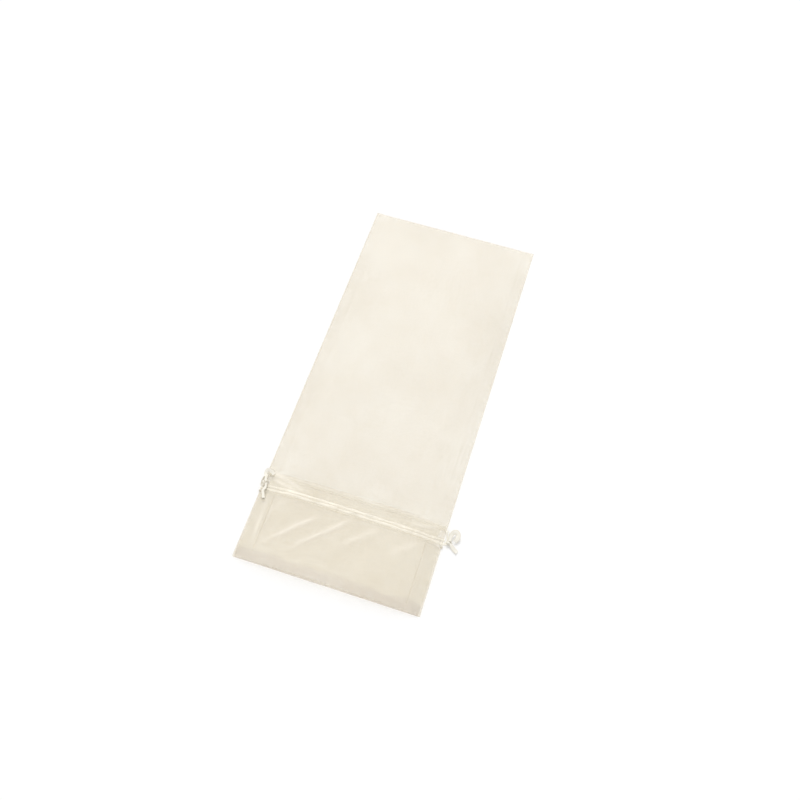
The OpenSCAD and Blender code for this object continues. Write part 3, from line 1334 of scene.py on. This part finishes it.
@dataclass(frozen=True)
class Drawcords:
    """The two satin ribbons: each loops through the whole casing and is knotted at its own side."""

    plan: PouchPlan
    finishes: Finishes
    ribbon_w: float = 2.5
    ribbon_t: float = 0.26
    step: float = 1.1
    strand_half_w: float = 0.85
    sway: float = 0.6
    roll: float = 0.85
    knot_scale: float = 0.745
    knot_half_w: float = 0.72
    knot_half_t: float = 0.3

    def spread_values(self, marks: Sequence[float], count: int) -> list[float]:
        """Values between marks that are evenly spaced along a path."""
        made = []
        for k in range(count):
            at = k / (count - 1) * (len(marks) - 1)
            low = min(int(at), len(marks) - 2)
            made.append(marks[low] + (marks[low + 1] - marks[low]) * smooth_step(at - low))
        return made

    def loop(self, side: Side, ends: CordEnds) -> bpy.types.Object:
        """Builds a ribbon's loop, from its knot through the front and the back of the casing.

        Args:
            side: The side where the ribbon is pulled.
            ends: How its ends lie.

        Returns:
            The finished piece.
        """
        plan, sign = self.plan, side.value
        low, high = node_box(f"{side.word}_drawcord")
        y = (low.y + high.y) / 2
        back_z = low.z + 0.175
        far = -sign * plan.half_w
        near = sign * (plan.half_w + 0.3)
        front: list[Point] = []
        for x in steps(near, far, 4.0):
            edge = smooth_step((plan.inner_half_w - abs(x)) / 10.0)
            at_y = y - ends.lean * edge
            under = plan.shell(x, at_y) + plan.ruffle(x, at_y) + plan.ribbon_ridge(x, at_y)
            sway = self.sway * edge * noise.noise(Vector((x / 21.0, sign * 5.0, 2.2)))
            front.append((x, at_y + sway, under - 0.3 - 0.12 * edge))
        radius = (front[-1][2] - back_z) / 2
        bend = [
            (far - sign * radius * math.sin(a), y, back_z + radius * (1.0 + math.cos(a)))
            for a in (math.pi / 4, math.pi / 2, 3 * math.pi / 4)
        ]
        back = [(x, y, back_z) for x in steps(far, near, 8.0)]
        path = smooth_path(
            [*reversed(ends.front_strand), *front, *bend, *back, *ends.back_strand], self.step
        )
        roll = []
        for point in path:
            edge = smooth_step((plan.inner_half_w - 4.0 - abs(point.x)) / 12.0)
            on_front = 1.0 if point.z > back_z + 0.3 else 0.0
            turn = noise.noise(Vector((point.x / 11.0, sign * 9.0, 4.0)))
            roll.append(on_front * edge * self.roll * turn)
        bm = bmesh.new()
        known = min(range(len(path)), key=lambda k: abs(path[k].x) - path[k].z)
        half = []
        for point in path:
            out = smooth_step((abs(point.x) - plan.half_w + 1.0) / 2.0)
            fold = 0.5 + 0.5 * noise.noise(Vector((point.x / 12.0, sign * 3.0, 9.0)))
            inner = self.ribbon_w / 2 * (0.55 + 0.45 * smooth_step(fold * 2.2 - 0.6))
            half.append(inner + (self.strand_half_w - inner) * out)
        sweep(bm, path, half, self.ribbon_t / 2, ALONG, roll, known=known)
        obj = piece(f"{side.word}_ribbon", bm, self.finishes.ribbon)
        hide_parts(f"{side.word}_drawcord")
        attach(obj, f"{side.word}_cord")
        return obj

    def knot(self, side: Side, ends: CordEnds) -> bpy.types.Object:
        """Builds the overhand knot that both ends of a ribbon are tied in."""
        low, high = node_box(f"{side.word}_knot")
        middle = (low + high) / 2
        turn = Matrix.Rotation(ends.knot_turn[0], 4, "X") @ Matrix.Rotation(ends.knot_turn[1], 4, "Y")
        turn = turn @ Matrix.Rotation(ends.knot_turn[2], 4, "Z")
        bm = bmesh.new()
        for shift in (0.0, 0.42):
            path = []
            for a in steps(0.0, math.tau, math.tau / 72)[:-1]:
                strand = Vector(
                    (
                        math.sin(a) + 2 * math.sin(2 * a),
                        math.cos(a) - 2 * math.cos(2 * a),
                        -math.sin(3 * a) * 1.1 + shift,
                    )
                )
                path.append(middle + turn @ (strand * self.knot_scale * (1.0 - shift * 0.12)))
            sweep(bm, path, self.knot_half_w, self.knot_half_t, UP, sides=8, closed=True)
        obj = piece(f"{side.word}_ribbon_knot", bm, self.finishes.ribbon)
        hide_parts(f"{side.word}_knot")
        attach(obj, f"{side.word}_cord")
        return obj

    def tails(self, side: Side, ends: CordEnds) -> bpy.types.Object:
        """Builds the two cut ends past a knot, curled and cut slantwise."""
        low, high = node_box(f"{side.word}_knot")
        middle = (low + high) / 2
        bm = bmesh.new()
        for marks, curls, tail_w in zip(ends.tails, ends.curls, ends.widths):
            path = smooth_path([tuple(middle + Vector(p)) for p in marks], 0.6)
            count = len(path)
            half = [tail_w / 2 * (0.55 + 0.45 * smooth_step(k / count * 3.0)) for k in range(count)]
            across = (path[1] - path[0]).cross(UP)
            roll = self.spread_values(curls, count)
            for point, wide, turn in zip(path, half, roll):
                point.z = max(point.z, FLOOR_GAP + self.ribbon_t + wide * abs(math.sin(turn)) + 0.12)
            sweep(bm, path, half, self.ribbon_t / 2, across, roll)
        obj = piece(f"{side.word}_ribbon_tails", bm, self.finishes.ribbon)
        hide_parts(f"{side.word}_tails")
        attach(obj, f"{side.word}_cord")
        return obj

    def build(self) -> list[bpy.types.Object]:
        """Builds both ribbons with their knots and tails."""
        made = []
        for side, ends in ((Side.LEFT, LEFT_ENDS), (Side.RIGHT, RIGHT_ENDS)):
            made.append(self.loop(side, ends))
            made.append(self.knot(side, ends))
            made.append(self.tails(side, ends))
        return made


@dataclass(frozen=True)
class Studio:
    """A pale floor and backdrop, soft light from above and behind, and the camera."""

    camera_at: Point = (0.1105, -0.3537, 0.7038)
    aim_at: Point = (0.0056, -0.0065, 0.0)
    roll_deg: float = 1.30
    lens: float = 40.2
    floor_size: float = 8.0
    sky: float = 0.76
    backdrop: float = 1.04
    sun: float = 1.12
    sun_angle: float = 24.0

    def floor(self) -> bpy.types.Object:
        """Builds the floor, a matt white sweep of paper."""
        material, tree = new_material("white_paper")
        shader = add_node(
            tree,
            "ShaderNodeBsdfPrincipled",
            values={"Base Color": linear_colour("fefefe"), "Roughness": 0.9, "Specular IOR Level": 0.1},
        )
        close_material(tree, shader)
        bm = bmesh.new()
        bmesh.ops.create_grid(bm, x_segments=1, y_segments=1, size=self.floor_size / 2)
        mesh = bpy.data.meshes.new("floor")
        bm.to_mesh(mesh)
        bm.free()
        mesh.materials.append(material)
        obj = bpy.data.objects.new("floor", mesh)
        bpy.context.scene.collection.objects.link(obj)
        return obj

    def light(self) -> None:
        """Adds an even white sky and a soft key light from behind the closed end."""
        scene = bpy.context.scene
        world = scene.world or bpy.data.worlds.new("studio")
        scene.world = world
        world.use_nodes = True
        sky = world.node_tree.nodes["Background"]
        sky.inputs["Color"].default_value = (1.0, 1.0, 1.0, 1.0)
        seen = add_node(world.node_tree, "ShaderNodeLightPath").outputs["Is Camera Ray"]
        strength = add_node(
            world.node_tree,
            "ShaderNodeMath",
            {"operation": "MULTIPLY_ADD"},
            values={"1": self.backdrop - self.sky, "2": self.sky},
            links={"0": seen},
        )
        world.node_tree.links.new(strength.outputs[0], sky.inputs["Strength"])
        lamp = bpy.data.lights.new("key", "SUN")
        lamp.angle = math.radians(self.sun_angle)
        lamp.energy = self.sun
        key = bpy.data.objects.new("key", lamp)
        key.location = (-0.3, 0.85, 1.1)
        key.rotation_euler = (-key.location).to_track_quat("-Z", "Y").to_euler()
        scene.collection.objects.link(key)

    def camera(self) -> None:
        """Sets the camera."""
        scene = bpy.context.scene
        data = bpy.data.cameras.new("camera")
        data.lens = self.lens
        data.sensor_width = 36.0
        data.clip_start = 0.01
        obj = bpy.data.objects.new("camera", data)
        place = Vector(self.camera_at)
        look = (Vector(self.aim_at) - place).to_track_quat("-Z", "Y")
        obj.rotation_mode = "QUATERNION"
        obj.rotation_quaternion = look @ Quaternion((0.0, 0.0, 1.0), math.radians(self.roll_deg))
        obj.location = place
        scene.collection.objects.link(obj)
        scene.camera = obj

    def build(self) -> None:
        """Builds the whole studio, with whites kept white."""
        self.camera()
        self.floor()
        self.light()
        scene = bpy.context.scene
        scene.view_settings.view_transform = "Standard"
        scene.cycles.transparent_max_bounces = 24


def let_light_through(pieces: Iterable[bpy.types.Object]) -> None:
    """Keeps sheer cloths, and the ribbons inside them, from shading what lies under them."""
    for obj in pieces:
        obj.visible_shadow = False


def main() -> None:
    """Builds the pouch around the frame."""
    logging.basicConfig(level=logging.INFO, format="%(name)s %(message)s", stream=sys.stdout)
    Studio().build()
    plan = PouchPlan.from_frame()
    finishes = Finishes.build()
    gathering = Gathering(plan)
    cloths = ClothPanels(plan, gathering, finishes).build()
    cloths += Seams(plan, gathering, finishes).build()
    let_light_through(cloths)
    Stitching(plan, gathering, finishes).build()
    cords = Drawcords(plan, finishes).build()
    let_light_through(obj for obj in cords if obj.name.endswith("_ribbon"))


if __name__ == "__main__":
    main()
